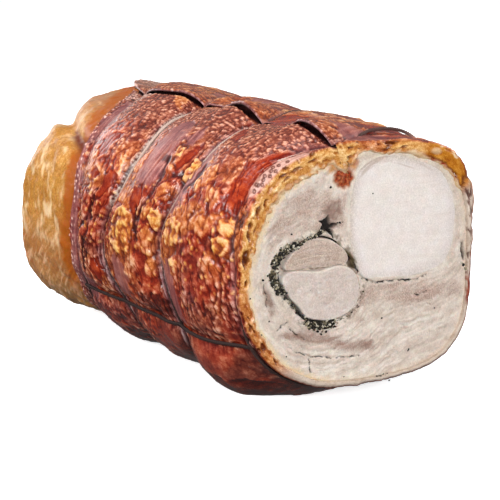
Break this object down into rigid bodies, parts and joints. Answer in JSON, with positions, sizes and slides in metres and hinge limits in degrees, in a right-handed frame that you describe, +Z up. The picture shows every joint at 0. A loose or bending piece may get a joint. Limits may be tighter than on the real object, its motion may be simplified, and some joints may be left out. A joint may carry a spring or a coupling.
{
  "type": "porchetta roast",
  "caption": "Tied roll of rind-on roast pork belly round a pale loin and fillet with a herb seam, cut square at one end.",
  "frame": {"origin": "centre of the bounding box's bottom, on the surface the roll lies on", "axes": "+X along the roll towards its cut face, +Y to the side of the loin, +Z up"},
  "size_m": [0.285, 0.166, 0.1579],
  "materials": {
    "rind": "blistered, glossy with fat",
    "loin": "moist, fine grain",
    "fillet": "moist, fine grain",
    "lean": "moist, fibrous",
    "herbs": "chopped, wet",
    "twine": "twisted cotton, greasy"
  },
  "bodies": {
    "root": {"belly": "rind", "loin": "loin", "fillet": "fillet", "inner_fold": "lean", "herb_filling": "herbs", "twine": "twine"}
  },
  "joints": []
}
